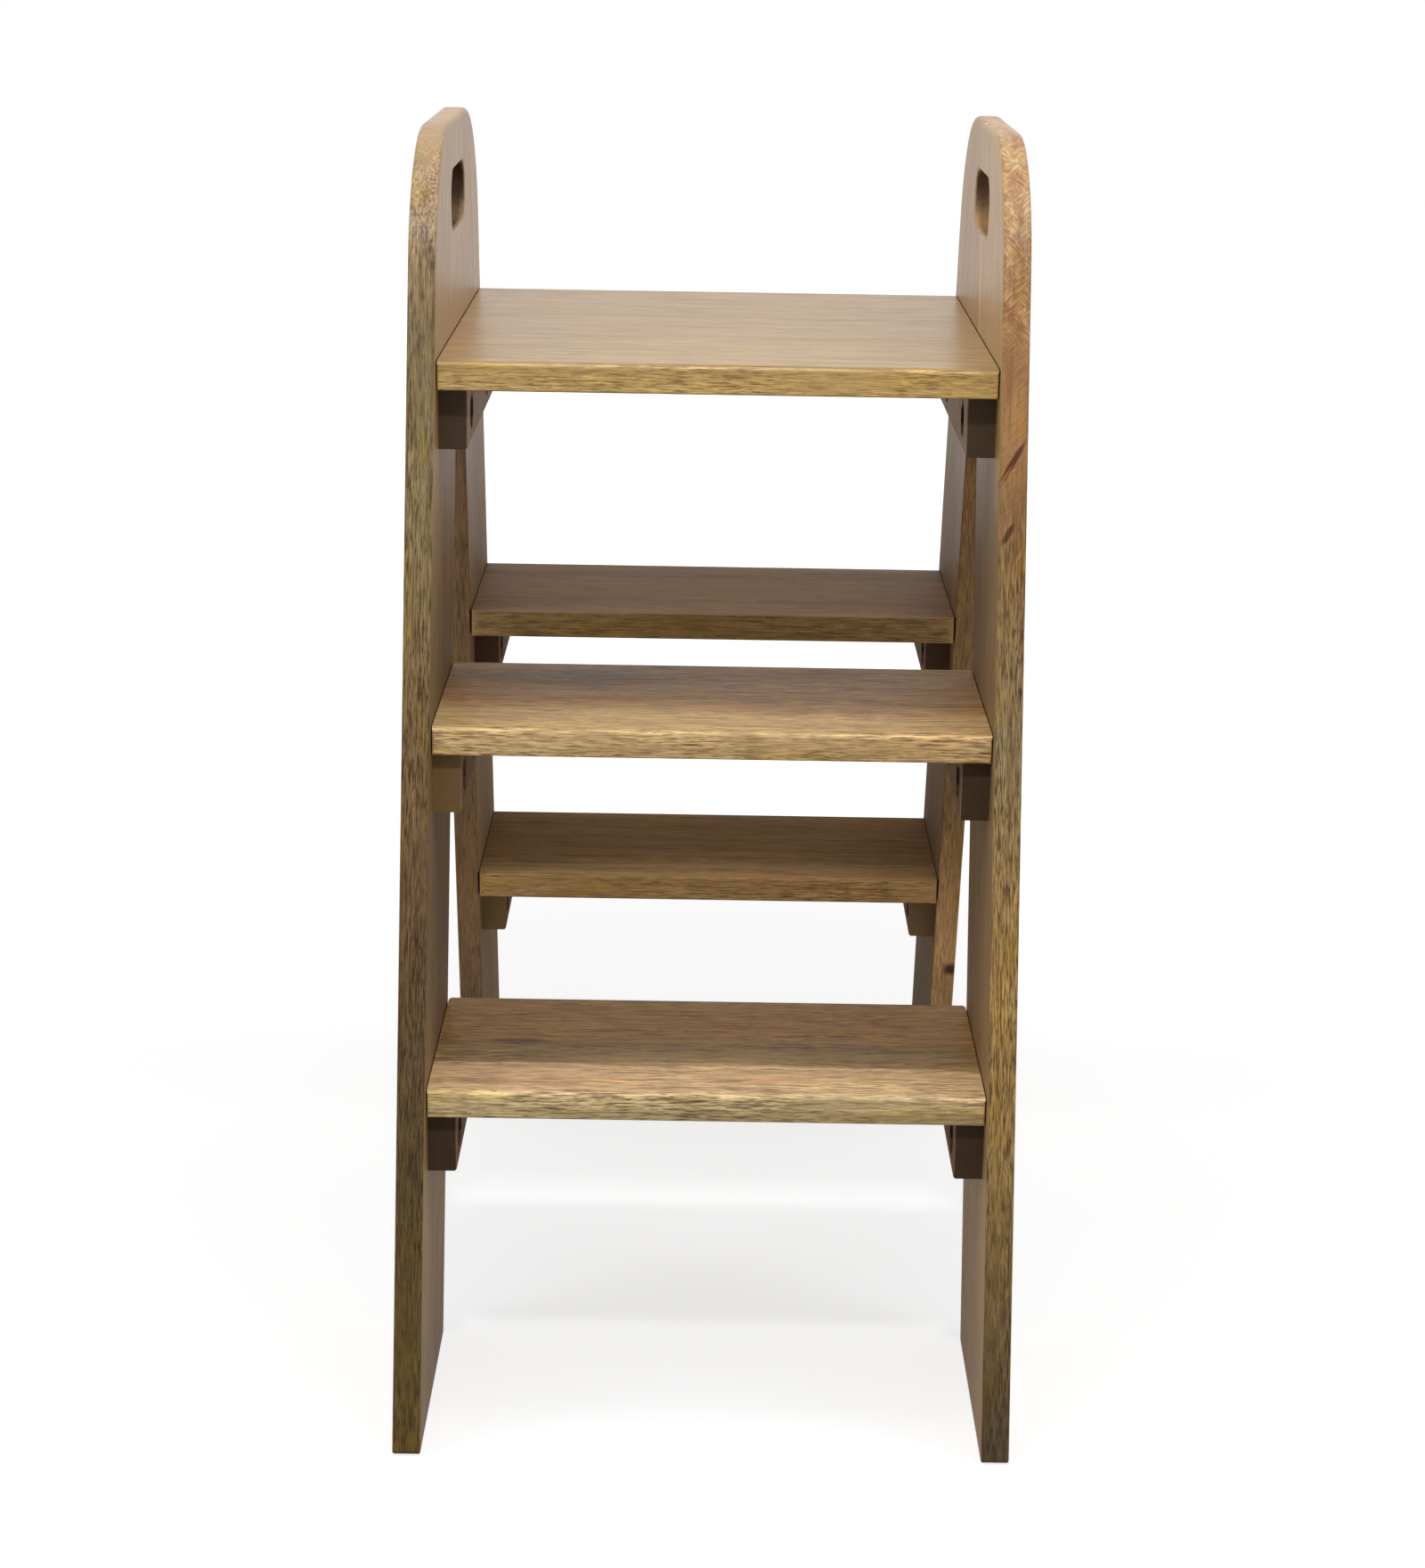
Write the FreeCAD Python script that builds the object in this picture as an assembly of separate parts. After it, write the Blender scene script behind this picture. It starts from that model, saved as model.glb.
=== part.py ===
import FreeCAD, Part
import math
import os

# A rigid, double-sided step ladder of solid wood.
# Two A-shaped sides carry a deep top tread and two lower treads at the front and at the rear.
# X runs across the treads, Y from the front to the rear, and Z up from the floor.
# The origin is on the floor in the middle of the ladder. Sizes are in millimetres and degrees.
# Left and right are as seen by someone who stands in front of the ladder.

# The two sides
overall_width = 440.0
leg_thickness = 20.0
leg_width = 185.0                 # square to the leg's length
leg_lean = 15.0                   # away from upright
leg_edge_round = 1.6
head_edge_round = 4.5             # along the top of the head
foot_corner_round = 3.0
platform_height = 750.0           # top of the top tread above the floor
platform_span = 424.0             # front edge to rear edge of a side, at the platform's height
head_rise = 156.0                 # top of the head above the platform
head_corner_radius = 120.0
crotch_below_platform = 58.0      # top of the gap between the legs, below the platform
crotch_corner_radius = 12.0

# The hand-hold in each head
hand_hold_length = 120.0
hand_hold_height = 44.0
hand_hold_below_top = 38.0
hand_hold_corner_radius = 20.0
hand_hold_edge_round = 4.0

# The seam between the front and the rear leg board of a side
seam_behind_front_leg = 12.0
dowel_diameter = 8.0
dowel_length = 50.0
dowel_end_room = 1.0

# The treads, whose rises from the floor to the platform are equal
lower_levels = ["bottom", "middle"]
tread_thickness = 21.0
tread_setback = 7.0               # behind the outer edge of the legs
lower_tread_depth = 188.0
tread_end_gap = 0.7
tread_nose_round = 4.0
tread_edge_round = 1.5
tread_inner_corner_radius = 6.0

# The cleats under the ends of the treads
cleat_width = 21.0
cleat_height = 45.0
short_cleat_length = 136.0
long_cleat_length = 376.0
cleat_edge_round = 2.5
cleat_corner_round = 1.5

# The coach screws that hold a cleat to a leg, in counterbored holes
short_cleat_screw_inset = 26.0
long_cleat_screw_inset = 38.0
counterbore_diameter = 27.0
counterbore_depth = 9.0
coach_screw_diameter = 8.0
coach_screw_head_flats = 13.0
coach_screw_head_height = 5.3
coach_screw_point_length = 5.0
coach_screw_cover = 4.0           # wood left beyond the point of the screw
hexagon_sides = 6
washer_diameter = 24.0
washer_thickness = 2.0

# The wood screws that hold a tread down on a cleat, in pockets in the cleat's underside
tread_screw_spacing = 30.0        # on a short cleat
tread_screw_diameter = 5.0
tread_screw_head_diameter = 9.6
tread_screw_head_height = 3.6
tread_screw_point_length = 4.0
tread_screw_cover = 9.0
pocket_diameter = 11.0
pocket_depth = 10.0

# Room round a screw or a dowel in its hole, on the radius, and beyond its point
hole_clearance = 0.15
point_clearance = 0.5

# Places that follow from the sizes above
lean_run = math.tan(math.radians(leg_lean))
leg_span = leg_width / math.cos(math.radians(leg_lean))
step_rise = platform_height / (len(lower_levels) + 1)
overall_height = platform_height + head_rise
crotch_height = platform_height - crotch_below_platform
outer_face = overall_width / 2
inner_face = outer_face - leg_thickness
hand_hold_top = overall_height - hand_hold_below_top
hand_hold_bottom = hand_hold_top - hand_hold_height
counterbore_floor = inner_face - cleat_width + counterbore_depth
coach_screw_tip = outer_face - coach_screw_cover


def outer_edge(height):
    """Distance from the middle of the ladder to the outer edge of a leg, at a height."""
    return platform_span / 2 + (platform_height - height) * lean_run


def inner_edge(height):
    """Distance from the middle of the ladder to the inner edge of a leg, at a height."""
    return outer_edge(height) - leg_span


def seam(height):
    """Place of the seam between the two boards of a side, front to rear, at a height."""
    return seam_behind_front_leg - inner_edge(height)


def rounded_edges(corners, place):
    """Lines and arcs round a closed outline whose corners are (across, up, radius)."""
    starts = []
    arcs = []
    count = len(corners)
    for i, (across, up, radius) in enumerate(corners):
        here = FreeCAD.Vector(across, up, 0)
        back = FreeCAD.Vector(*corners[i - 1][:2], 0) - here
        ahead = FreeCAD.Vector(*corners[(i + 1) % count][:2], 0) - here
        back.normalize()
        ahead.normalize()
        half_angle = back.getAngle(ahead) / 2
        tangent = radius / math.tan(half_angle)
        middle = (back + ahead).normalize() * (radius / math.sin(half_angle) - radius)
        starts.append((here + back * tangent, here + ahead * tangent))
        arcs.append(here + middle)
    edges = []
    for i, (arc_start, arc_end) in enumerate(starts):
        if corners[i][2] > 0:
            arc = Part.Arc(place(arc_start), place(arcs[i]), place(arc_end))
            edges.append(arc.toShape())
        next_start = starts[(i + 1) % count][0]
        edges.append(Part.LineSegment(place(arc_end), place(next_start)).toShape())
    return edges


def prism(corners, along, start, length):
    """Solid with a rounded outline, drawn across one axis and extruded along it."""
    places = {
        "x": lambda point: FreeCAD.Vector(start, point.x, point.y),
        "y": lambda point: FreeCAD.Vector(point.x, start, point.y),
        "z": lambda point: FreeCAD.Vector(point.x, point.y, start),
    }
    directions = {
        "x": FreeCAD.Vector(length, 0, 0),
        "y": FreeCAD.Vector(0, length, 0),
        "z": FreeCAD.Vector(0, 0, length),
    }
    wire = Part.Wire(rounded_edges(corners, places[along]))
    return Part.Face(wire).extrude(directions[along])


def rod(diameter, length, start, direction):
    """Plain round rod or hole."""
    return Part.makeCylinder(diameter / 2, length, start, direction)


def to_left(shape):
    return shape.mirror(FreeCAD.Vector(0, 0, 0), FreeCAD.Vector(1, 0, 0))


def to_rear(shape):
    return shape.mirror(FreeCAD.Vector(0, 0, 0), FreeCAD.Vector(0, 1, 0))


def half_of(corners):
    """The same corners on the other side of the middle, in the order that closes the outline."""
    return [(-across, up, radius) for across, up, radius in reversed(corners)]


def outline_round(point):
    """Radius of the easing along the outline of a side, at a point of it."""
    on_top = overall_height - point.z < head_edge_round
    return head_edge_round if on_top else leg_edge_round


def eased_outline(board):
    """A side with its outline eased. The easing grows round the corners of the head."""
    document = FreeCAD.newDocument()
    plain = document.addObject("Part::Feature", "plain_side")
    plain.Shape = board
    eased = document.addObject("Part::Fillet", "eased_side")
    eased.Base = plain
    rounds = []
    for number, edge in enumerate(board.Edges, start=1):
        if edge.BoundBox.XLength < leg_thickness / 2:
            start = edge.valueAt(edge.FirstParameter)
            end = edge.valueAt(edge.LastParameter)
            rounds.append((number, outline_round(start), outline_round(end)))
    eased.Edges = rounds
    document.recompute()
    shape = eased.Shape
    FreeCAD.closeDocument(document.Name)
    return shape


def side_board():
    """Both legs and the head of the right side, before the seam parts them."""
    front_half = [
        (-inner_edge(crotch_height), crotch_height, crotch_corner_radius),
        (-inner_edge(0), 0, foot_corner_round),
        (-outer_edge(0), 0, foot_corner_round),
        (-outer_edge(overall_height), overall_height, head_corner_radius),
    ]
    board = eased_outline(prism(front_half + half_of(front_half), "x", inner_face, leg_thickness))
    hold_half = [
        (-hand_hold_length / 2, hand_hold_bottom, hand_hold_corner_radius),
        (-hand_hold_length / 2, hand_hold_top, hand_hold_corner_radius),
    ]
    hold = prism(hold_half + half_of(hold_half), "x", inner_face, leg_thickness)
    board = board.cut(hold)
    hold_box = hold.BoundBox
    hold_box.enlarge(hole_clearance)
    rim = [
        edge for edge in board.Edges
        if hold_box.isInside(edge.BoundBox) and edge.BoundBox.XLength < leg_thickness / 2
    ]
    return board.makeFillet(hand_hold_edge_round, rim)


def seam_block():
    """Everything in front of the seam, a little larger than the side."""
    reach = outer_edge(0) + leg_span
    low = -leg_span
    high = overall_height + leg_span
    corners = [(-reach, low, 0), (seam(low), low, 0), (seam(high), high, 0), (-reach, high, 0)]
    return prism(corners, "x", inner_face - leg_thickness, 3 * leg_thickness)


def dowel_places():
    """Middles of the dowels across the seam: two under the hand-hold and one over it."""
    under = hand_hold_bottom - crotch_height
    heights = [
        crotch_height + under / 3,
        crotch_height + under * 2 / 3,
        (hand_hold_top + overall_height) / 2,
    ]
    middle = (inner_face + outer_face) / 2
    return [FreeCAD.Vector(middle, seam(height), height) for height in heights]


def dowel_rods(diameter, length):
    """Rods across the seam, square to it."""
    lean = math.radians(leg_lean)
    across = FreeCAD.Vector(0, math.cos(lean), -math.sin(lean))
    return [rod(diameter, length, place - across * (length / 2), across) for place in dowel_places()]


def tread(front, rear, top, front_nose, rear_nose, rear_corner_radius):
    """One tread, rounded along its edges and at its rear corners."""
    half_length = inner_face - tread_end_gap
    section = [
        (front, top - tread_thickness, tread_edge_round),
        (rear, top - tread_thickness, tread_edge_round),
        (rear, top, rear_nose),
        (front, top, front_nose),
    ]
    plan = [
        (-half_length, front, tread_edge_round),
        (half_length, front, tread_edge_round),
        (half_length, rear, rear_corner_radius),
        (-half_length, rear, rear_corner_radius),
    ]
    board = prism(section, "x", -half_length, 2 * half_length)
    return board.common(prism(plan, "z", top - tread_thickness, tread_thickness))


def lower_tread(top):
    """A lower tread on the front legs."""
    front = -outer_edge(top) + tread_setback
    rear = front + lower_tread_depth
    return tread(front, rear, top, tread_nose_round, tread_edge_round, tread_inner_corner_radius)


def top_tread():
    reach = outer_edge(platform_height) - tread_setback
    return tread(-reach, reach, platform_height, tread_nose_round, tread_nose_round, tread_edge_round)


class CleatPlan:
    """Where a right-hand cleat lies, and where its screws go."""

    def __init__(self, tread_top, middle, length, coach_places, tread_places):
        self.top = tread_top - tread_thickness
        self.bottom = self.top - cleat_height
        self.height = (self.top + self.bottom) / 2
        self.middle = middle
        self.length = length
        self.coach_places = [middle + offset for offset in coach_places]
        self.tread_places = [middle + offset for offset in tread_places]
        self.tread_screw_tip = tread_top - tread_screw_cover


def short_cleat_plan(tread_top):
    height = tread_top - tread_thickness - cleat_height / 2
    middle = -(outer_edge(height) + inner_edge(height)) / 2
    reach = short_cleat_length / 2 - short_cleat_screw_inset
    half_spacing = tread_screw_spacing / 2
    return CleatPlan(tread_top, middle, short_cleat_length, [-reach, reach], [-half_spacing, half_spacing])


def long_cleat_plan():
    reach = long_cleat_length / 2 - long_cleat_screw_inset
    return CleatPlan(platform_height, 0, long_cleat_length, [-reach, 0, reach], [-reach / 2, reach / 2])


def coach_bore(plan, diameter, start, end):
    """Holes across the ladder at a cleat's coach screws, from one distance out to another."""
    direction = FreeCAD.Vector(1, 0, 0)
    starts = [FreeCAD.Vector(start, place, plan.height) for place in plan.coach_places]
    return [rod(diameter, end - start, place, direction) for place in starts]


def tread_bore(plan, diameter, start, end):
    """Upright holes at a cleat's tread screws, from one height up to another."""
    direction = FreeCAD.Vector(0, 0, 1)
    middle = inner_face - cleat_width / 2
    starts = [FreeCAD.Vector(middle, place, start) for place in plan.tread_places]
    return [rod(diameter, end - start, place, direction) for place in starts]


def coach_holes(plan):
    """What a cleat's coach screws need in the cleat and in the leg."""
    inside = inner_face - cleat_width
    diameter = coach_screw_diameter + 2 * hole_clearance
    shanks = coach_bore(plan, diameter, inside, coach_screw_tip + point_clearance)
    return shanks + coach_bore(plan, counterbore_diameter, inside, counterbore_floor)


def tread_holes(plan):
    """What a cleat's tread screws need in the cleat and in the tread."""
    diameter = tread_screw_diameter + 2 * hole_clearance
    shanks = tread_bore(plan, diameter, plan.bottom, plan.tread_screw_tip + point_clearance)
    return shanks + tread_bore(plan, pocket_diameter, plan.bottom, plan.bottom + pocket_depth)


def cleat(plan):
    """A cleat with its edges eased where they show, bored for its screws."""
    inside = inner_face - cleat_width
    front = plan.middle - plan.length / 2
    rear = plan.middle + plan.length / 2
    section = [
        (inside, plan.bottom, cleat_edge_round),
        (inner_face, plan.bottom, 0),
        (inner_face, plan.top, 0),
        (inside, plan.top, 0),
    ]
    outline = [
        (inside, front, cleat_corner_round),
        (inner_face, front, 0),
        (inner_face, rear, 0),
        (inside, rear, cleat_corner_round),
    ]
    block = prism(section, "y", front, plan.length)
    block = block.common(prism(outline, "z", plan.bottom, cleat_height))
    return block.cut(coach_holes(plan) + tread_holes(plan))


def washers(plan):
    seats = coach_bore(plan, washer_diameter, counterbore_floor - washer_thickness, counterbore_floor)
    holes = coach_holes(plan)[:len(seats)]
    return [seat.cut(hole) for seat, hole in zip(seats, holes)]


def coach_screw(height, place):
    """Hexagon-headed screw, seated on its washer."""
    seat = counterbore_floor - washer_thickness
    outward = FreeCAD.Vector(1, 0, 0)
    head_start = FreeCAD.Vector(seat - coach_screw_head_height, place, height)
    side_angle = 2 * math.pi / hexagon_sides
    head_radius = coach_screw_head_flats / 2 / math.cos(side_angle / 2)
    corners = []
    for i in range(hexagon_sides + 1):
        angle = i * side_angle
        corners.append(head_start + FreeCAD.Vector(0, math.cos(angle), math.sin(angle)) * head_radius)
    head = Part.Face(Part.makePolygon(corners)).extrude(outward * coach_screw_head_height)
    point_start = coach_screw_tip - coach_screw_point_length
    shank = rod(coach_screw_diameter, point_start - seat, FreeCAD.Vector(seat, place, height), outward)
    point = Part.makeCone(
        coach_screw_diameter / 2, 0, coach_screw_point_length,
        FreeCAD.Vector(point_start, place, height), outward,
    )
    return head.fuse([shank, point])


def tread_screw(plan, place):
    """Pan-headed wood screw, seated in its pocket and driven up into the tread."""
    seat = plan.bottom + pocket_depth
    middle = inner_face - cleat_width / 2
    upward = FreeCAD.Vector(0, 0, 1)
    head_start = FreeCAD.Vector(middle, place, seat - tread_screw_head_height)
    head = rod(tread_screw_head_diameter, tread_screw_head_height, head_start, upward)
    point_start = plan.tread_screw_tip - tread_screw_point_length
    shank = rod(tread_screw_diameter, point_start - seat, FreeCAD.Vector(middle, place, seat), upward)
    point = Part.makeCone(
        tread_screw_diameter / 2, 0, tread_screw_point_length,
        FreeCAD.Vector(middle, place, point_start), upward,
    )
    return head.fuse([shank, point])


def build():
    """All pieces of the ladder, by name."""
    lower = {level: step_rise * (i + 1) for i, level in enumerate(lower_levels)}
    short_plans = {level: short_cleat_plan(height) for level, height in lower.items()}
    long_plan = long_cleat_plan()

    pieces = {}
    leg_holes = coach_holes(long_plan)
    right_washers = washers(long_plan)
    right_coach_screws = [coach_screw(long_plan.height, place) for place in long_plan.coach_places]
    right_tread_screws = [tread_screw(long_plan, place) for place in long_plan.tread_places]

    long_cleat = cleat(long_plan)
    pieces["right_top_cleat"] = long_cleat
    pieces["left_top_cleat"] = to_left(long_cleat)
    platform_holes = tread_holes(long_plan)
    pieces["top_tread"] = top_tread().cut(platform_holes + [to_left(hole) for hole in platform_holes])

    for level, plan in short_plans.items():
        block = cleat(plan)
        pieces["right_front_" + level + "_cleat"] = block
        pieces["left_front_" + level + "_cleat"] = to_left(block)
        pieces["right_rear_" + level + "_cleat"] = to_rear(block)
        pieces["left_rear_" + level + "_cleat"] = to_rear(to_left(block))
        holes = tread_holes(plan)
        board = lower_tread(lower[level]).cut(holes + [to_left(hole) for hole in holes])
        pieces["front_" + level + "_tread"] = board
        pieces["rear_" + level + "_tread"] = to_rear(board)
        front_holes = coach_holes(plan)
        front_washers = washers(plan)
        front_coach_screws = [coach_screw(plan.height, place) for place in plan.coach_places]
        front_tread_screws = [tread_screw(plan, place) for place in plan.tread_places]
        for group, members in (
            (leg_holes, front_holes),
            (right_washers, front_washers),
            (right_coach_screws, front_coach_screws),
            (right_tread_screws, front_tread_screws),
        ):
            group += members + [to_rear(member) for member in members]

    dowel_holes = dowel_rods(dowel_diameter + 2 * hole_clearance, dowel_length + 2 * dowel_end_room)
    side = side_board().cut(leg_holes + dowel_holes)
    front_leg = side.common(seam_block())
    rear_leg = side.cut(seam_block())
    pieces["right_front_leg"] = front_leg
    pieces["left_front_leg"] = to_left(front_leg)
    pieces["right_rear_leg"] = rear_leg
    pieces["left_rear_leg"] = to_left(rear_leg)

    groups = {
        "head_dowels": dowel_rods(dowel_diameter, dowel_length),
        "washers": right_washers,
        "coach_screws": right_coach_screws,
        "tread_screws": right_tread_screws,
    }
    for name, members in groups.items():
        pieces["right_" + name] = Part.makeCompound(members)
        pieces["left_" + name] = Part.makeCompound([to_left(member) for member in members])
    return pieces


os.makedirs("parts", exist_ok=True)
for piece_name, shape in build().items():
    shape.exportStep(os.path.join("parts", piece_name + ".step"))
    print(piece_name, len(shape.Solids), round(shape.Volume), shape.isValid())
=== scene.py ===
import math
from dataclasses import dataclass, field

import bpy
from mathutils import Matrix, Vector


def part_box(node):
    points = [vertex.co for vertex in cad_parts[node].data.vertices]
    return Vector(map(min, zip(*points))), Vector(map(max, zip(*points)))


# The looks of a rigid double-sided step ladder in lacquered mango wood.
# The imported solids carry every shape. This script gives them wood and steel, and sets the photograph's view.
# X runs across the treads, Y from the front to the rear, Z up. Sizes are in metres and degrees.

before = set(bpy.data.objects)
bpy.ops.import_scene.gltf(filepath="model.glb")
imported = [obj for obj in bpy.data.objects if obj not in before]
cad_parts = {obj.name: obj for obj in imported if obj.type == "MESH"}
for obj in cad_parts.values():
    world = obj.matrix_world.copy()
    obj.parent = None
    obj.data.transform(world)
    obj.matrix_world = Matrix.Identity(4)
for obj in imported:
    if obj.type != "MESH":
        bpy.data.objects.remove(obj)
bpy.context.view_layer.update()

# The photograph's frame, and the camera fitted to it
photo_width = 1600
photo_height = 1760
sensor_size = 36.0                    # in millimetres, as the camera takes it
focal_length_in_pixels = 3363.6
camera_place = Vector((-0.0059, -2.3215, 1.0729))
camera_pitch = -16.621
camera_yaw = 0.188
camera_roll = 0.974

# Lamps: places, sizes, power in watts, and the strength of the surroundings
ladder_middle = Vector((0.0, 0.0, 0.5))
key_place = Vector((0.0, -2.44, 3.59))
key_size = (0.26, 0.26)
key_power = 48.0
overhead_place = Vector((0.0, -0.2, 2.3))
overhead_size = (3.0, 0.42)
overhead_power = 12.5
side_place = Vector((1.6, -0.6, 2.0))
side_size = (0.6, 0.6)
side_power = 6.3
surrounding_light = 0.34

# The floor, whose colour holds the shadow and whose glow lifts it to the white of the background
floor_radius = 7.0
floor_sides = 96
floor_drop = 0.0005
floor_colour = 0.4
floor_glow = 0.72
shadow_reach = (0.7, 1.6)

# Sizes of the ladder that its grain and its tones follow
leg_lean = 15.0
half_leg_thickness = 0.01
platform_height = 0.75
platform_half_span = 0.212
half_tread_length = 0.2
half_tread_depth = 0.094              # of the four lower treads
half_tread_thickness = 0.0105

# Depths below a leg's inner face: where the painted shade of a joint ends, and where the outer face's tones
# begin
joint_shade_depth = (0.0005, 0.0015)
outer_depth = (0.006, 0.014)

# How far the painted shade of a joint shows beside the piece that casts it
joint_shade_bleed = 0.0006

# How squarely a surface faces out of its board or along it, from 0 to 1, where one kind turns into another
face_limits = (0.6, 0.92)             # from an edge to a face
arris_rise = (0.1, 0.5)               # from an edge into the rounding beside it
arris_fall = (0.8, 0.99)              # from that rounding into the face
crosscut_limits = (0.3, 0.85)         # from long grain to cut grain
end_limits = (0.75, 0.95)             # from a side to an end

# How far the noise moves on from piece to piece and from stave to stave, along, across and through the grain
piece_step = (1.0, 0.37, 0.53)
stave_step = (0.83, 0.29, 0.17)

# How often each kind of noise repeats in a metre, along and across the grain
sway_rate = (5.0, 14.0)
drift_rate = (2.2, 9.0)
crowd_rate = (9.0, 60.0)
gloss_rate = (18.0, 70.0)
fibre_rate = (24.0, 1300.0)
wear_rate = (30.0, 120.0)
waver_rate = (45.0, 260.0)
strand_rate = (50.0, 800.0)
pore_rate = (95.0, 1200.0)

# Values of the noise, from 0 to 1, between which each kind shows more and more
crowd_shows = (0.3, 0.7)
fibre_shows = (0.25, 0.75)
wear_shows = (0.35, 0.65)
dark_strand_ends = (0.38, 0.49)       # this one shows less and less
pale_strand_shows = (0.5, 0.6)
pore_shows = (0.55, 0.65)

# The least and the most that patches multiply flecks by, and that fibres multiply the colour by
crowd_range = (0.55, 1.25)
fibre_range = (0.92, 1.07)

# How far the tones sway, along and across a board
sway_along = 0.12
sway_across = 0.035

# Growth bands: how often they repeat in a metre out from the heart, and where the heart lies below the board
ring_rate = 95.0
ring_shows = (0.4, 0.85)
ring_drift = 0.06
heart_depth = 0.05
heart_slope = 0.02

# The rippled figure on one leg's front edge, by places along the leg from the platform
ripple_rise = (0.0, 0.04)             # where it grows to its full strength
ripple_below = 0.12                   # what is left of it lower down
hair_rise = (-0.14, -0.08)            # where the hair lines start
calm_rise = (-0.13, -0.06)            # where flecks fade
calm_share = 0.88                     # how much of the flecks fades there
stroke_rate = (80.0, 400.0)
stroke_shows = (0.47, 0.58)
stroke_layers = (3.0, 7.0)
turn_rate = (75.0, 95.0)
turn_shows = (0.42, 0.58)
turn_layer = 5.0
cloud_rate = (38.0, 60.0)
cloud_shows = (0.44, 0.64)
hair_rate = (45.0, 640.0)
hair_shows = (0.48, 0.62)
hair_layer = 11.0

# What is left of the figure and of the flecks on cut grain, and of the olive patches on a face
figure_on_ends = 0.3
flecks_on_ends = 0.35
olive_on_faces = 0.35

# The surface: the relief of fibres and pores, and how patches and wear change its roughness
pore_depth = 0.0002
fibre_height = 0.35                   # beside a pore's depth of 1
gloss_change = 0.12
wear_strength = 0.7
wear_dulls = 0.15

# Steel: how often its blotches repeat in a metre, where they show, and the roughness that they change
blotch_rate = 420.0
blotch_shows = (0.3, 0.7)
steel_roughness = (0.42, 0.6)


def grey(value):
    return (value, value, value, 1.0)


def colour(red, green, blue):
    """A colour given as it shows on screen, 0 to 255, as the linear values that nodes take."""
    shown = [channel / 255 for channel in (red, green, blue)]
    linear = [c / 12.92 if c <= 0.04045 else ((c + 0.055) / 1.055) ** 2.4 for c in shown]
    return (*linear, 1.0)


def tint(red, green, blue):
    """What a colour is multiplied by, channel by channel."""
    return (red, green, blue, 1.0)


white = grey(1.0)
unchanged = tint(1.0, 1.0, 1.0)


class Graph:
    """Builds a node tree, with one call for each step of a calculation."""

    def __init__(self, tree):
        self.tree = tree
        tree.nodes.clear()

    def node(self, kind, **settings):
        node = self.tree.nodes.new(kind)
        for name, value in settings.items():
            setattr(node, name, value)
        return node

    def feed(self, socket, value):
        """Links an output to a socket, or sets a plain value on it."""
        if isinstance(value, bpy.types.NodeSocket):
            self.tree.links.new(value, socket)
        else:
            socket.default_value = value

    def math(self, operation, first, second=0.0):
        node = self.node("ShaderNodeMath", operation=operation)
        self.feed(node.inputs[0], first)
        self.feed(node.inputs[1], second)
        return node.outputs[0]

    def add(self, first, second):
        return self.math("ADD", first, second)

    def less(self, first, second):
        return self.math("SUBTRACT", first, second)

    def times(self, first, second):
        return self.math("MULTIPLY", first, second)

    def dot(self, vector, direction):
        node = self.node("ShaderNodeVectorMath", operation="DOT_PRODUCT")
        self.feed(node.inputs[0], vector)
        self.feed(node.inputs[1], direction)
        return node.outputs["Value"]

    def vector(self, x, y, z):
        node = self.node("ShaderNodeCombineXYZ")
        for socket, value in zip(node.inputs, (x, y, z)):
            self.feed(socket, value)
        return node.outputs[0]

    def parts(self, vector):
        node = self.node("ShaderNodeSeparateXYZ")
        self.feed(node.inputs[0], vector)
        return node.outputs

    def length(self, vector):
        node = self.node("ShaderNodeVectorMath", operation="LENGTH")
        self.feed(node.inputs[0], vector)
        return node.outputs["Value"]

    def noise(self, vector, detail=2.0, roughness=0.5):
        node = self.node("ShaderNodeTexNoise", noise_dimensions="3D")
        self.feed(node.inputs["Vector"], vector)
        self.feed(node.inputs["Scale"], 1.0)
        self.feed(node.inputs["Detail"], detail)
        self.feed(node.inputs["Roughness"], roughness)
        return node.outputs["Fac"]

    def flat_noise(self, first, second, rate, layer, **settings):
        """Noise over two distances. Another layer has another pattern."""
        place = self.vector(self.times(first, rate[0]), self.times(second, rate[1]), layer)
        return self.noise(place, **settings)

    def bands(self, distance, detail):
        """Noise over one distance."""
        node = self.node("ShaderNodeTexNoise", noise_dimensions="1D")
        self.feed(node.inputs["W"], distance)
        self.feed(node.inputs["Scale"], 1.0)
        self.feed(node.inputs["Detail"], detail)
        return node.outputs["Fac"]

    def spread(self, value, low, high, to_low=0.0, to_high=1.0):
        """Eases a value from one range into another, and holds it at the ends."""
        node = self.node("ShaderNodeMapRange", interpolation_type="SMOOTHSTEP")
        names = ("Value", "From Min", "From Max", "To Min", "To Max")
        for name, number in zip(names, (value, low, high, to_low, to_high)):
            self.feed(node.inputs[name], number)
        return node.outputs["Result"]

    def mix(self, factor, first, second, blend="MIX"):
        node = self.node("ShaderNodeMix", data_type="RGBA", blend_type=blend)
        self.feed(node.inputs["Factor"], factor)
        self.feed(node.inputs["A"], first)
        self.feed(node.inputs["B"], second)
        return node.outputs["Result"]

    def tinted(self, shade, factor, by):
        return self.mix(factor, shade, by, blend="MULTIPLY")

    def ramp(self, value, stops):
        """A colour that changes with a value, through stops of (value, colour)."""
        first = stops[0][0]
        reach = stops[-1][0] - first
        node = self.node("ShaderNodeValToRGB")
        elements = node.color_ramp.elements
        elements[0].color = stops[0][1]
        elements[1].color = stops[-1][1]
        for at, shade in stops[1:-1]:
            elements.new((at - first) / reach).color = shade
        self.feed(node.inputs[0], self.times(self.less(value, first), 1 / reach))
        return node.outputs["Color"]

    def show(self, shader, output="ShaderNodeOutputMaterial"):
        """Makes a shader the one that the material or the world shows."""
        self.feed(self.node(output).inputs["Surface"], shader)


@dataclass
class Board:
    """How a piece of wood lies: its grain, its width, its thickness and where they are measured from."""
    along: Vector
    across: Vector
    through: Vector
    start: Vector
    seed: float


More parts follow.
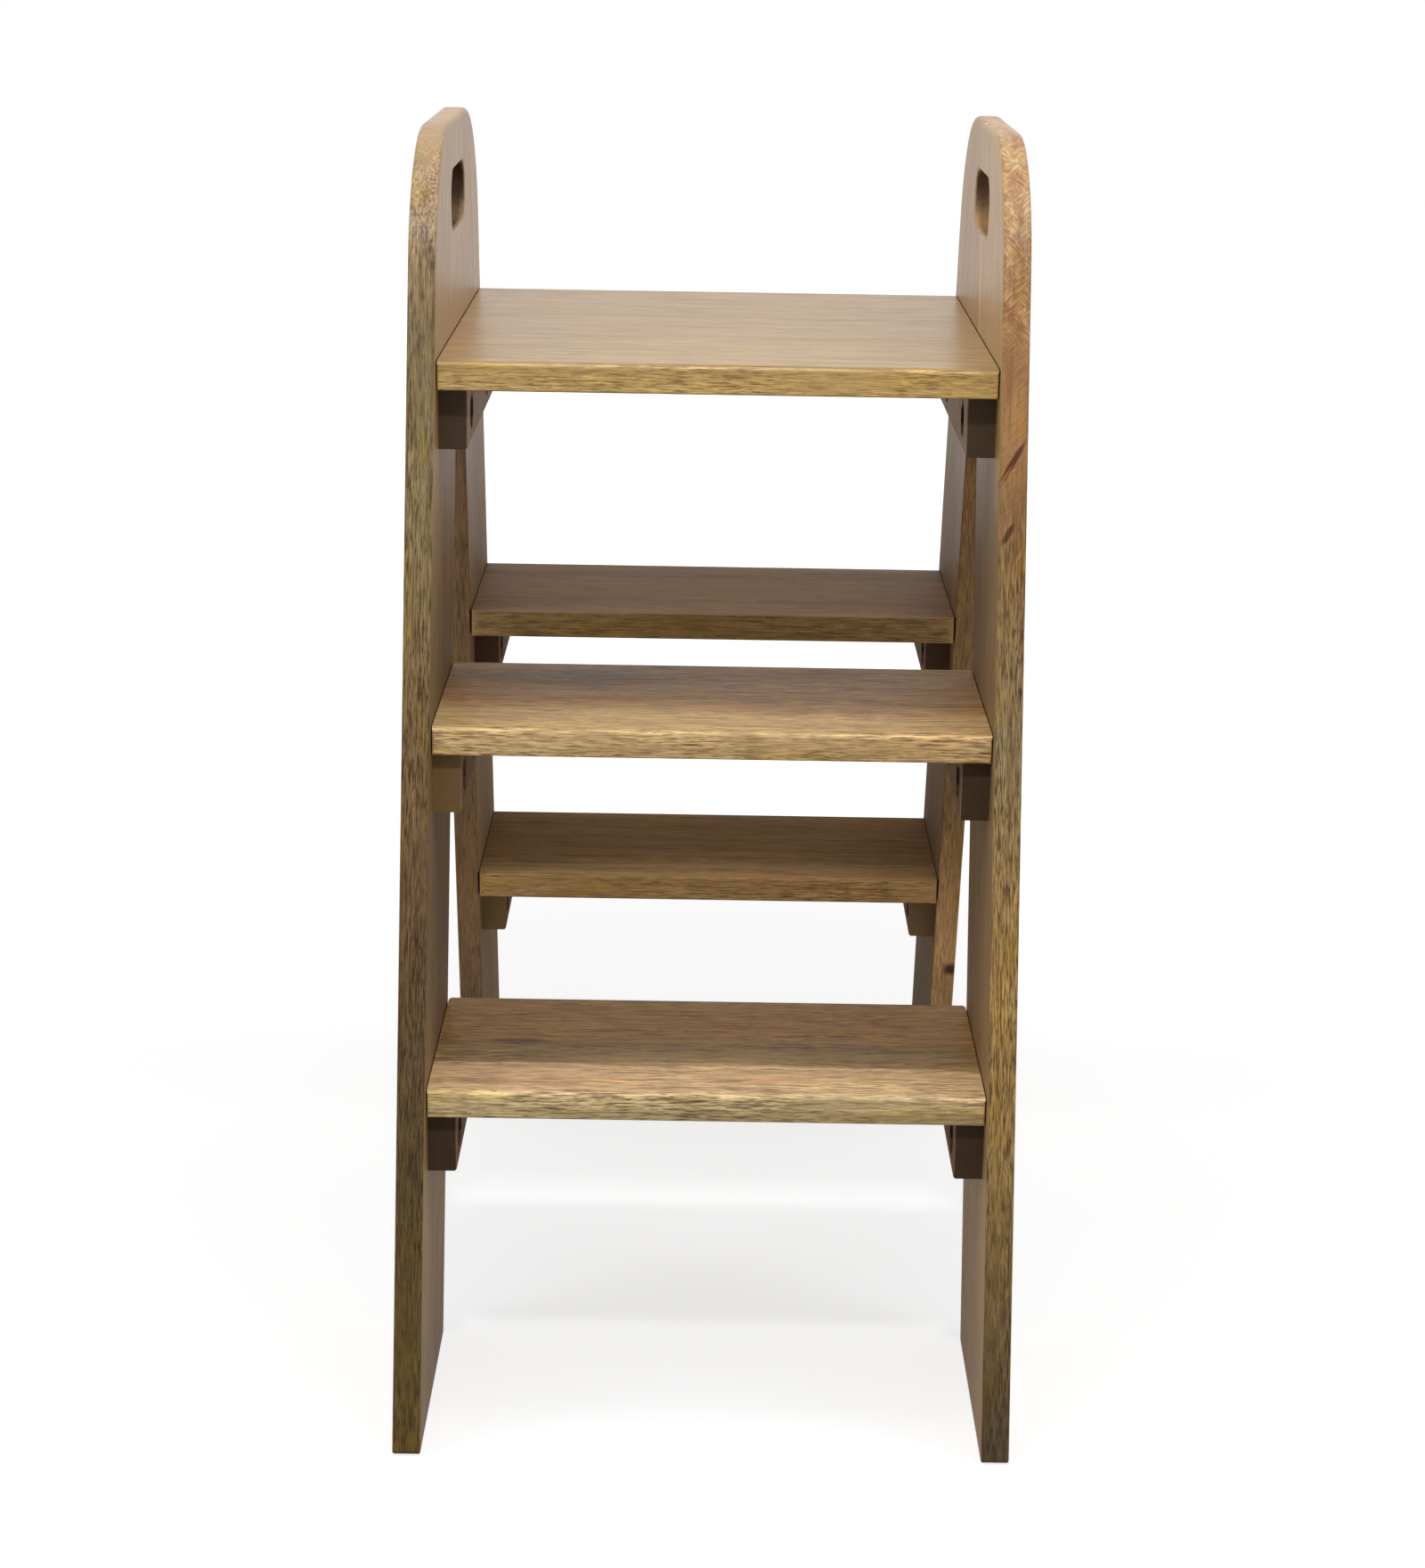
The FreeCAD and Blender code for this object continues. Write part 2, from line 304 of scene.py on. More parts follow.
@dataclass
class Mark:
    """A knot, a cloud or a streak: an egg-shaped place in the wood, which may slant off the grain."""
    along: float
    across: float
    through: float
    reach: tuple                      # half its size along, across and through
    by: tuple                         # what it multiplies the wood's colour by
    slant_across: float = 0.0         # shift across, for each metre along
    slant_through: float = 0.0        # shift through, for each metre along
    core: float = 0.5                 # share of its reach that has the full tint
    ragged: float = 0.6
    only_edges: bool = False


@dataclass
class Look:
    """The colours and the figure of one piece of wood."""
    # face tones on the legs' inner faces hold painted shade, and on the front lower treads painted light and
    # shade
    face_tones: list                  # (place, colour) along the board, or across it
    edge_tones: list                  # the same on the narrow faces, always along the board
    roughness: list                   # (place along, roughness)
    specular: float
    outer_tones: list = field(default_factory=list)    # along a leg's outer face
    tones_across: bool = False
    # what cut grain at the ends multiplies the colour by; on most cleats it is also painted shade
    end_tone_and_shade: tuple = tint(0.9, 0.88, 0.86)
    staves: list = field(default_factory=list)    # (joint's place across, tint beyond it)
    marks: list = field(default_factory=list)
    face_figure: float = 0.5
    edge_figure: float = 0.8
    face_flecks: float = 0.2
    edge_flecks: float = 0.8
    ripple: float = 0.0
    bump: float = 0.3


@dataclass
class Figure:
    """One kind of figure in the wood: noise that is drawn out along the grain, and tints it."""
    rate: tuple                       # how often it repeats in a metre, along and across the grain
    shows: tuple                      # values of the noise between which it fades in
    by: tuple                         # what it multiplies the wood's colour by
    detail: float = 2.0
    roughness: float = 0.5


# Kinds of figure
mottle = Figure((28.0, 120.0), (0.45, 0.7), tint(0.85, 0.82, 0.78), detail=3.0)
streaks = Figure((7.0, 210.0), (0.5, 0.72), tint(0.64, 0.6, 0.56), detail=4.0, roughness=0.65)
blush = Figure((3.0, 15.0), (0.5, 0.72), tint(0.98, 0.9, 0.92))
murk = Figure((17.0, 52.0), (0.5, 0.68), tint(0.7, 0.68, 0.64), detail=3.0)
olive = Figure((11.0, 60.0), (0.52, 0.7), tint(1.1, 1.06, 0.64), detail=3.0)

# What other kinds of figure multiply the wood's colour by
growth_tint = tint(0.83, 0.8, 0.76)
cloud_tint = tint(0.76, 0.62, 0.52)
hair_tint = tint(0.8, 0.74, 0.66)
stroke_tint = tint(1.62, 1.7, 1.74)
dark_strand_tint = tint(0.44, 0.39, 0.34)
pale_strand_tint = tint(1.44, 1.44, 1.4)
pore_tint = tint(0.42, 0.38, 0.34)
wear_tint = tint(1.08, 1.1, 1.22)
# Painted shade in the narrow gaps at the treads' ends
joint_shade_tint = tint(0.1, 0.085, 0.075)


class Grain:
    """Places in a board and the way its surface faces, along, across and through its grain."""

    def __init__(self, graph, board, look):
        self.graph = graph
        coordinates = graph.node("ShaderNodeTexCoord")
        facing = coordinates.outputs["Normal"]
        self.place = coordinates.outputs["Object"]
        self.along = self.measured(board.along, board.start)
        self.across = self.measured(board.across, board.start)
        self.through = self.measured(board.through, board.start)
        flatness = graph.math("ABSOLUTE", graph.dot(facing, board.through))
        endwise = graph.math("ABSOLUTE", graph.dot(facing, board.along))
        self.narrow = graph.spread(flatness, *face_limits, 1.0, 0.0)
        rising = graph.spread(flatness, *arris_rise)
        falling = graph.spread(flatness, *arris_fall, 1.0, 0.0)
        self.arris = graph.times(rising, falling)
        self.crosscut = graph.spread(endwise, *crosscut_limits)
        self.end = graph.spread(endwise, *end_limits)
        stave = 0.0
        for joint, _ in look.staves:
            stave = graph.add(stave, graph.math("GREATER_THAN", self.across, joint))
        places = (self.along, self.across, self.through)
        self.shifted = []
        for place, by_piece, by_stave in zip(places, piece_step, stave_step):
            moved = graph.add(place, board.seed * by_piece)
            self.shifted.append(graph.add(moved, graph.times(stave, by_stave)))

    def measured(self, direction, start):
        return self.graph.less(self.graph.dot(self.place, direction), start.dot(direction))

    def noise(self, rate, **settings):
        """Noise that is drawn out along the grain, and starts anew in each glued stave."""
        scales = (rate[0], rate[1], rate[1])
        scaled = [self.graph.times(place, scale) for place, scale in zip(self.shifted, scales)]
        return self.graph.noise(self.graph.vector(*scaled), **settings)

    def wander(self, rate):
        """Noise about zero."""
        return self.graph.less(self.noise(rate), 0.5)

    def face_or_edge(self, on_face, on_edge):
        return self.graph.spread(self.narrow, 0.0, 1.0, on_face, on_edge)


def toned(grain, look):
    """The wood's ground colours, which change softly along or across the board, and from stave to stave. The
    face tones also hold painted shade on the legs' inner faces and painted light and shade on the front lower
    treads, and the end tint holds painted shade on most cleats' ends.
    """
    graph = grain.graph
    sway = grain.wander(sway_rate)
    along = graph.add(grain.along, graph.times(sway, sway_along))
    across = graph.add(grain.across, graph.times(sway, sway_across))
    faces = graph.ramp(across if look.tones_across else along, look.face_tones)
    if look.outer_tones:
        outer = graph.spread(grain.through, *outer_depth)
        faces = graph.mix(outer, faces, graph.ramp(along, look.outer_tones))
    shade = graph.mix(grain.narrow, faces, graph.ramp(along, look.edge_tones))
    for joint, by in look.staves:
        shade = graph.tinted(shade, graph.math("GREATER_THAN", grain.across, joint), by)
    return graph.tinted(shade, grain.end, look.end_tone_and_shade)


def growth_bands(grain):
    """Bands round the tree's heart, which lies below the board and drifts along it."""
    graph = grain.graph
    along, across, through = grain.shifted
    ring_across = graph.add(across, graph.times(grain.wander(drift_rate), ring_drift))
    ring_through = graph.add(graph.add(through, heart_depth), graph.times(along, heart_slope))
    ring = graph.length(graph.vector(ring_across, ring_through, 0.0))
    return graph.spread(graph.bands(graph.times(ring, ring_rate), detail=4.0), *ring_shows)


def figured(grain, look, shade):
    """Growth bands, mottle, long streaks, and large pink-grey, dark and olive patches."""
    graph = grain.graph
    strength = grain.face_or_edge(look.face_figure, look.edge_figure)
    strength = graph.times(strength, graph.spread(grain.crosscut, 0.0, 1.0, 1.0, figure_on_ends))
    shade = graph.tinted(shade, graph.times(growth_bands(grain), strength), growth_tint)
    everywhere = 1.0
    on_edges = grain.narrow
    mostly_on_edges = grain.face_or_edge(olive_on_faces, 1.0)
    kinds = (
        (mottle, everywhere), (streaks, everywhere), (blush, everywhere),
        (murk, on_edges), (olive, mostly_on_edges),
    )
    for figure, where in kinds:
        noise = grain.noise(figure.rate, detail=figure.detail, roughness=figure.roughness)
        shown = graph.times(graph.spread(noise, *figure.shows), where)
        shade = graph.tinted(shade, graph.times(shown, strength), figure.by)
    return shade


def rippled(grain, look, shade):
    """Pale strokes this way and that over reddish clouds, and dark slanted hair lines below them."""
    graph = grain.graph
    upper = graph.spread(grain.along, *ripple_rise, ripple_below, look.ripple)
    present = graph.times(upper, grain.narrow)
    uphill = graph.add(grain.along, grain.through)
    downhill = graph.less(grain.along, grain.through)
    strokes = []
    for lengthwise, crosswise, layer in zip((uphill, downhill), (downhill, uphill), stroke_layers):
        noise = graph.flat_noise(lengthwise, crosswise, stroke_rate, layer, roughness=0.6)
        strokes.append(graph.spread(noise, *stroke_shows))
    turning = graph.flat_noise(grain.along, grain.through, turn_rate, turn_layer, detail=1.0)
    turn = graph.spread(turning, *turn_shows)
    pale = graph.add(graph.times(strokes[0], turn), graph.times(strokes[1], graph.less(1.0, turn)))
    cloudy = graph.flat_noise(grain.along, grain.through, cloud_rate, grain.across, detail=3.0)
    cloud = graph.spread(cloudy, *cloud_shows)
    hair = graph.spread(graph.flat_noise(uphill, downhill, hair_rate, hair_layer), *hair_shows)
    haired = graph.times(graph.times(graph.spread(grain.along, *hair_rise), grain.narrow), look.ripple)
    shade = graph.tinted(shade, graph.times(cloud, present), cloud_tint)
    shade = graph.tinted(shade, graph.times(hair, graph.less(haired, present)), hair_tint)
    return graph.tinted(shade, graph.times(pale, present), stroke_tint)


def marked(grain, look, shade):
    """Knots, clouds and streaks at their own places."""
    graph = grain.graph
    waver = grain.wander(waver_rate)
    for mark in look.marks:
        along = graph.less(grain.along, mark.along)
        across = graph.less(graph.less(grain.across, mark.across), graph.times(along, mark.slant_across))
        through = graph.less(graph.less(grain.through, mark.through), graph.times(along, mark.slant_through))
        parts = [graph.times(part, 1 / size) for part, size in zip((along, across, through), mark.reach)]
        distance = graph.add(graph.length(graph.vector(*parts)), graph.times(waver, mark.ragged))
        strength = graph.spread(distance, mark.core, 1.0, 1.0, 0.0)
        if mark.only_edges:
            strength = graph.times(strength, grain.narrow)
        shade = graph.tinted(shade, strength, mark.by)
    return shade


def fleck_strength(grain, look):
    """How strongly fibres and pores show: more on the edges than on the faces, in uneven patches."""
    graph = grain.graph
    crowd = graph.spread(grain.noise(crowd_rate), *crowd_shows, *crowd_range)
    strength = graph.times(grain.face_or_edge(look.face_flecks, look.edge_flecks), crowd)
    strength = graph.times(strength, graph.spread(grain.crosscut, 0.0, 1.0, 1.0, flecks_on_ends))
    if look.ripple > 0:
        calm = graph.times(graph.spread(grain.along, *calm_rise, 0.0, calm_share), grain.narrow)
        strength = graph.times(strength, graph.less(1.0, calm))
    return strength


def fibrous(grain, strength, pores, shade):
    """Fine light and dark strands, and short dark pores between them."""
    graph = grain.graph
    strands = grain.noise(strand_rate, roughness=0.6)
    dark = graph.spread(strands, *dark_strand_ends, 1.0, 0.0)
    pale = graph.spread(strands, *pale_strand_shows)
    for flecks, by in ((dark, dark_strand_tint), (pale, pale_strand_tint), (pores, pore_tint)):
        shade = graph.tinted(shade, graph.times(flecks, strength), by)
    return shade


def joint_shaded(grain, neighbours, shade):
    """Painted shade in the joints: the wood behind the end of a neighbour shows only in the narrow gap beside
    it, and is darkened there as the gap's shade.
    """
    graph = grain.graph
    _, y, z = graph.parts(grain.place)
    inner = graph.spread(grain.through, *joint_shade_depth, 1.0, 0.0)
    for low, high in neighbours:
        sides = [graph.less(y, low.y), graph.less(high.y, y), graph.less(z, low.z), graph.less(high.z, z)]
        nearest = sides[0]
        for side in sides[1:]:
            nearest = graph.math("MINIMUM", nearest, side)
        covered = graph.times(graph.spread(nearest, -joint_shade_bleed, 0.0), inner)
        shade = graph.tinted(shade, covered, joint_shade_tint)
    return shade


def new_material(name):
    """An empty material, and the graph that builds it."""
    material = bpy.data.materials.new(name)
    material.use_nodes = True
    return material, Graph(material.node_tree)


def wood(name, board, look, neighbours):
    """Lacquered wood, solid all through the piece, with worn edges and fine pores under the lacquer."""
    material, graph = new_material(name)
    grain = Grain(graph, board, look)
    strength = fleck_strength(grain, look)
    pores = graph.spread(grain.noise(pore_rate, detail=1.0), *pore_shows)
    fibre = grain.noise(fibre_rate)
    broken = graph.spread(grain.noise(wear_rate), *wear_shows)
    worn = graph.times(graph.times(grain.arris, broken), wear_strength)

    shade = figured(grain, look, toned(grain, look))
    if look.ripple > 0:
        shade = rippled(grain, look, shade)
    shade = fibrous(grain, strength, pores, shade)
    lift = graph.spread(fibre, *fibre_shows, *fibre_range)
    shade = graph.tinted(shade, 1.0, graph.vector(lift, lift, lift))
    shade = marked(grain, look, shade)
    shade = graph.tinted(shade, worn, wear_tint)
    shade = joint_shaded(grain, neighbours, shade)

    relief = graph.less(graph.times(fibre, fibre_height), graph.times(pores, strength))
    bump = graph.node("ShaderNodeBump")
    graph.feed(bump.inputs["Strength"], look.bump)
    graph.feed(bump.inputs["Distance"], pore_depth)
    graph.feed(bump.inputs["Height"], relief)

    stops = [(place, grey(value)) for place, value in look.roughness]
    patches = graph.times(grain.wander(gloss_rate), gloss_change)
    dull = graph.add(graph.add(graph.ramp(grain.along, stops), patches), graph.times(worn, wear_dulls))

    shader = graph.node("ShaderNodeBsdfPrincipled")
    graph.feed(shader.inputs["Base Color"], shade)
    graph.feed(shader.inputs["Roughness"], dull)
    graph.feed(shader.inputs["Specular IOR Level"], look.specular)
    graph.feed(shader.inputs["Normal"], bump.outputs["Normal"])
    graph.show(shader.outputs["BSDF"])
    return material


def steel(name, base):
    """Dark zinc plate, dulled and slightly blotched."""
    material, graph = new_material(name)
    scaled = graph.node("ShaderNodeVectorMath", operation="SCALE")
    graph.feed(scaled.inputs[0], graph.node("ShaderNodeTexCoord").outputs["Object"])
    graph.feed(scaled.inputs["Scale"], blotch_rate)
    blotch = graph.noise(scaled.outputs[0], detail=3.0)
    blotched = colour(110, 106, 99)
    shader = graph.node("ShaderNodeBsdfPrincipled")
    graph.feed(shader.inputs["Base Color"], graph.mix(blotch, base, blotched))
    graph.feed(shader.inputs["Metallic"], 1.0)
    graph.feed(shader.inputs["Roughness"], graph.spread(blotch, *blotch_shows, *steel_roughness))
    graph.show(shader.outputs["BSDF"])
    return material


def tread_board(node, seed):
    low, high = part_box(node)
    return Board(Vector((1, 0, 0)), Vector((0, 1, 0)), Vector((0, 0, 1)), (low + high) / 2, seed)


def cleat_board(node, seed):
    low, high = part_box(node)
    return Board(Vector((0, 1, 0)), Vector((0, 0, 1)), Vector((1, 0, 0)), (low + high) / 2, seed)


def leg_board(side, end, seed):
    """A leg's grain leans with it, measured from its inner face and its outer edge at the platform."""
    lean = math.radians(leg_lean)
    toward_middle = 1 if end == "front" else -1
    along = Vector((0, toward_middle * math.sin(lean), math.cos(lean)))
    across = Vector((0, toward_middle * math.cos(lean), -math.sin(lean)))
    low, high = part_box(side + "_" + end + "_leg")
    outward = Vector((1, 0, 0)) if side == "right" else Vector((-1, 0, 0))
    inner_face = low.x if side == "right" else high.x
    start = Vector((inner_face, -toward_middle * platform_half_span, platform_height))
    return Board(along, across, outward, start, seed)


def even(value):
    """The same roughness or colour all along a piece."""
    return [(-0.5, value), (0.5, value)]


def left_to_right(left, right):
    """A tread's edge, whose colour changes from its left end to its right end."""
    return [(-half_tread_length, left), (half_tread_length, right)]


def tread_look(**settings):
    """What all treads share. Their faces' tones run from front to rear, measured from the middle."""
    return Look(tones_across=True, edge_figure=0.5, **settings)


def lower_edge_shade(by):
    """Painted shade: the darker lower half of a lower tread's front edge."""
    return Mark(0.0, -half_tread_depth, -0.006, (0.4, 0.012, 0.008), by, core=0.2)


def top_tread_look():
    return tread_look(
        face_tones=[
            (-0.2, colour(180, 145, 88)), (-0.1, colour(180, 145, 86)), (0.2, colour(174, 139, 86)),
        ],
        edge_tones=left_to_right(colour(222, 186, 118), colour(218, 180, 108)),
        face_figure=1.3, face_flecks=0.3, edge_flecks=0.7,
        roughness=even(0.32), specular=0.42, bump=0.1,
        staves=[(-0.075, tint(0.97, 0.98, 1.0)), (0.06, tint(1.02, 1.0, 0.97))],
        marks=[
            # A short dark streak, a greyer front edge and a warmer right end
            Mark(-0.02, 0.036, half_tread_thickness, (0.025, 0.0022, 0.006), tint(0.8, 0.75, 0.7)),
            Mark(0.0, -0.205, 0.0065, (0.3, 0.012, 0.0055), tint(0.86, 0.85, 0.88)),
            Mark(0.17, -0.02, half_tread_thickness, (0.09, 0.2, 0.012), tint(0.95, 0.93, 0.86), core=0.1),
        ],
    )


def front_middle_tread_look():
    return tread_look(
        # Front to rear: a lighter front band, then darker wood behind the line where the tread above shades
        # it; the step there is painted light and shade
        face_tones=[
            (-half_tread_depth, colour(203, 170, 117)), (-0.045, colour(198, 165, 114)),
            (-0.03, colour(174, 137, 90)), (0.0, colour(166, 131, 92)),
            (half_tread_depth, colour(156, 125, 86)),
        ],
        edge_tones=left_to_right(colour(242, 207, 152), colour(234, 197, 138)),
        face_figure=1.0, face_flecks=0.65, edge_flecks=0.8,
        roughness=even(0.5), specular=0.3,
        staves=[(-0.02, tint(1.0, 0.97, 0.95)), (0.045, tint(0.98, 1.0, 1.03))],
        marks=[
            # A dark cloud, a reddish cloud, a small knot, and painted shade on the lower front edge
            Mark(
                -0.11, 0.05, half_tread_thickness, (0.13, 0.04, 0.01), tint(0.54, 0.56, 0.57),
                core=0.3, ragged=1.1,
            ),
            Mark(
                0.06, 0.065, half_tread_thickness, (0.12, 0.026, 0.01), tint(0.88, 0.74, 0.76),
                core=0.4, ragged=1.1,
            ),
            Mark(0.107, 0.03, half_tread_thickness, (0.012, 0.003, 0.004), tint(0.5, 0.45, 0.4)),
            lower_edge_shade(tint(0.84, 0.82, 0.77)),
        ],
    )


def front_bottom_tread_look():
    return tread_look(
        # Front to rear: a lighter front band, then darker wood behind the line where the tread above shades
        # it; the step there is painted light and shade
        face_tones=[
            (-half_tread_depth, colour(224, 191, 143)), (-0.042, colour(217, 184, 136)),
            (-0.034, colour(160, 128, 80)), (0.0, colour(146, 116, 70)),
            (0.015, colour(166, 124, 68)), (half_tread_depth, colour(168, 126, 70)),
        ],
        edge_tones=left_to_right(colour(244, 218, 164), colour(224, 193, 140)),
        face_figure=0.9, face_flecks=0.75, edge_flecks=0.9,
        roughness=even(0.5), specular=0.35,
        staves=[(-0.038, unchanged), (0.012, unchanged)],
        marks=[
            # A knot, a slanted pink streak, and painted shade on the lower front edge
            Mark(
                -0.138, 0.005, half_tread_thickness, (0.028, 0.006, 0.006), tint(0.42, 0.34, 0.28),
                core=0.3,
            ),
            Mark(
                0.045, -0.066, half_tread_thickness, (0.06, 0.007, 0.006), tint(0.92, 0.84, 0.78),
                slant_across=0.12,
            ),
            lower_edge_shade(tint(0.7, 0.68, 0.63)),
        ],
    )


def rear_middle_tread_look():
    return tread_look(
        face_tones=[
            (-half_tread_depth, colour(202, 160, 114)), (0.02, colour(192, 153, 110)),
            (half_tread_depth, colour(170, 138, 100)),
        ],
        edge_tones=left_to_right(colour(184, 149, 98), colour(168, 135, 86)),
        face_figure=0.8, face_flecks=0.3, edge_flecks=0.6,
        roughness=even(0.62), specular=0.22,
        staves=[(-0.01, tint(0.97, 0.95, 0.96)), (0.043, tint(0.78, 0.81, 0.78))],
    )


def rear_bottom_tread_look():
    return tread_look(
        face_tones=[
            (-half_tread_depth, colour(186, 150, 100)), (-0.03, colour(180, 144, 96)),
            (half_tread_depth, colour(166, 132, 90)),
        ],
        edge_tones=left_to_right(colour(184, 148, 98), colour(172, 136, 88)),
        face_figure=1.0, face_flecks=0.35, edge_flecks=0.6,
        roughness=even(0.78), specular=0.1,
        staves=[(-0.02, tint(0.88, 0.85, 0.77)), (0.043, tint(0.96, 0.97, 0.96))],
    )


def leg_look(**settings):
    """What all legs share. Their tones run from the foot to the head, measured from the platform. The outer
    faces have tones of their own, without the painted shade of the inner faces.
    """
    outer_tones = [
        (-0.77, colour(172, 138, 92)), (-0.3, colour(180, 146, 98)), (0.16, colour(184, 150, 102)),
    ]
    return Look(
        outer_tones=outer_tones, end_tone_and_shade=tint(1.0, 0.96, 0.92), face_flecks=0.1, specular=0.3, **settings)


def front_leg_look(**settings):
    """A front leg, whose lacquer is glossy at the head and dull below the platform."""
    roughness = [
        (-0.7, 0.66), (-0.55, 0.65), (-0.42, 0.85), (-0.16, 0.82), (-0.09, 0.62), (0.02, 0.4), (0.17, 0.37),
    ]
    return leg_look(roughness=roughness, edge_flecks=1.1, **settings)


def rear_leg_look(**settings):
    """A rear leg, whose lacquer grows duller toward the foot."""
    roughness = [(-0.7, 0.9), (-0.42, 0.85), (-0.3, 0.8), (-0.1, 0.55), (0.02, 0.4), (0.17, 0.38)]
    return leg_look(roughness=roughness, edge_flecks=0.5, **settings)


def hand_hold_shade(along, by):
    """Painted shade on the upper part of a hand-hold's inside, which the top of the slot shadows."""
    reach = (0.05, 0.13, 0.05)
    return Mark(along, 0.16, half_leg_thickness, reach, by, core=0.4, ragged=0.1, only_edges=True)


def left_hand_hold_shade():
    # Painted shade inside the left legs' hand-holds
    return hand_hold_shade(0.147, tint(0.1, 0.06, 0.0))


def right_hand_hold_shade():
    # Painted shade inside the right legs' hand-holds
    return hand_hold_shade(0.154, tint(0.28, 0.26, 0.28))


def left_front_leg_look():
    return front_leg_look(
        # The inner faces' tones: partly the wood's colour and partly painted shade from the treads
        face_tones=[
            (-0.72, colour(138, 110, 75)), (-0.62, colour(174, 143, 101)), (-0.42, colour(132, 109, 77)),
            (-0.2, colour(136, 110, 69)), (-0.1, colour(177, 146, 102)), (0.16, colour(182, 148, 99)),
        ],
        edge_tones=[
            (-0.76, colour(107, 85, 34)), (-0.595, colour(96, 76, 40)), (-0.44, colour(110, 87, 56)),
            (-0.28, colour(137, 110, 76)), (-0.12, colour(148, 127, 88)), (0.035, colour(139, 121, 85)),
            (0.09, colour(178, 152, 114)), (0.14, colour(182, 154, 116)),
        ],
        face_figure=0.7,
        staves=[(0.06, tint(0.96, 0.94, 0.96)), (0.125, tint(1.05, 1.04, 1.01))],
        marks=[left_hand_hold_shade()],
    )


def right_front_leg_look():
    return front_leg_look(
        # The inner faces' tones: partly the wood's colour and partly painted shade from the treads
        face_tones=[
            (-0.72, colour(166, 135, 92)), (-0.62, colour(184, 150, 102)), (-0.42, colour(160, 129, 88)),
            (-0.2, colour(156, 127, 88)), (-0.1, colour(158, 130, 90)), (0.0, colour(198, 163, 103)),
            (0.16, colour(206, 168, 108)),
        ],
        edge_tones=[
            (-0.74, colour(86, 69, 46)), (-0.66, colour(119, 96, 59)), (-0.59, colour(141, 114, 67)),
            (-0.43, colour(184, 149, 94)), (-0.272, colour(154, 132, 93)), (-0.11, colour(153, 117, 73)),
            (-0.02, colour(188, 142, 90)), (0.075, colour(166, 128, 88)), (0.15, colour(182, 148, 106)),
        ],
        face_figure=0.8, ripple=1.0,
        staves=[(0.05, tint(0.97, 0.97, 0.97)), (0.125, tint(0.93, 0.92, 0.9))],
        marks=[
            right_hand_hold_shade(),
            # A pale streak beside the seam, then two dark slits on the edge, the first with a painted glint in
            # it, the second with a pale line
            Mark(0.087, 0.181, 0.0, (0.055, 0.009, 0.01), tint(1.34, 1.32, 1.2), core=0.5, ragged=0.2),
            Mark(-0.066, 0.0, 0.008, (0.021, 0.03, 0.0032), tint(0.26, 0.15, 0.11), slant_through=0.56),
            Mark(-0.073, 0.0, 0.0045, (0.009, 0.03, 0.0013), tint(3.4, 4.4, 4.6), slant_through=0.62),
            Mark(-0.114, 0.0, 0.007, (0.01, 0.03, 0.003), tint(0.3, 0.2, 0.16), slant_through=0.45),
            Mark(-0.132, 0.0, 0.014, (0.01, 0.03, 0.0012), tint(1.4, 1.4, 1.4), slant_through=0.5),
        ],
    )


def left_rear_leg_look():
    return rear_leg_look(
        # The inner faces' tones: partly the wood's colour and partly painted shade from the treads
        face_tones=[
            (-0.77, colour(160, 130, 92)), (-0.1, colour(178, 146, 106)), (0.16, colour(182, 148, 106)),
        ],
        edge_tones=[
            (-0.77, colour(156, 124, 90)), (0.0, colour(164, 130, 92)), (0.16, colour(188, 157, 122)),
        ],
        face_figure=0.7, edge_figure=0.5,
        staves=[(0.06, tint(0.94, 0.93, 0.95)), (0.125, tint(1.06, 1.05, 1.02))],
        marks=[left_hand_hold_shade()],
    )


def right_rear_leg_look():
    return rear_leg_look(
        # The inner faces' tones: partly the wood's colour and partly painted shade from the treads
        face_tones=[
            (-0.77, colour(98, 74, 43)), (-0.3, colour(138, 107, 68)), (0.16, colour(188, 152, 102)),
        ],
        edge_tones=[
            (-0.7, colour(218, 174, 128)), (-0.56, colour(222, 178, 130)),
            (-0.42, colour(170, 136, 98)), (0.0, colour(164, 130, 92)), (0.16, colour(190, 156, 116)),
        ],
        face_figure=0.8, edge_figure=0.6,
        staves=[(0.05, tint(0.95, 0.93, 0.86)), (0.125, tint(1.08, 1.04, 0.92))],
        marks=[
            right_hand_hold_shade(),
            # A knot on the edge
            Mark(-0.563, 0.185, 0.015, (0.009, 0.03, 0.008), tint(0.12, 0.1, 0.1), core=0.3, ragged=0.7),
        ],
    )


def cleat_end_tone_and_shade(node):
    """Most cleats' ends are darkened with painted shade, the shadow that their treads throw on them; the rear
    bottom ones are paler end grain.
    """
    if node == "left_front_middle_cleat":
        return tint(0.62, 0.58, 0.46)
    if node.endswith("rear_middle_cleat"):
        return tint(0.32, 0.31, 0.36)
    if node.endswith("rear_bottom_cleat"):
        return tint(1.05, 1.05, 0.98)
    return tint(0.2, 0.2, 0.2)


def cleat_look(node):
    """A cleat. The long ones under the top tread are paler and glossier than the others."""
    shared = {
        "edge_tones": even(colour(168, 138, 104)), "end_tone_and_shade": cleat_end_tone_and_shade(node),
        "face_figure": 0.4, "edge_figure": 0.4, "edge_flecks": 0.3,
    }
    if node.endswith("top_cleat"):
        return Look(face_tones=even(colour(188, 158, 124)), roughness=even(0.62), specular=0.2, **shared)
    return Look(face_tones=even(colour(142, 116, 86)), roughness=even(0.8), specular=0.1, **shared)


def dowel_look():
    plain = [(-0.2, colour(214, 184, 140)), (0.2, colour(208, 178, 134))]
    return Look(face_tones=plain, edge_tones=plain, roughness=even(0.7), specular=0.2)


def dress(node, material):
    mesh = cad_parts[node].data
    mesh.materials.clear()
    mesh.materials.append(material)


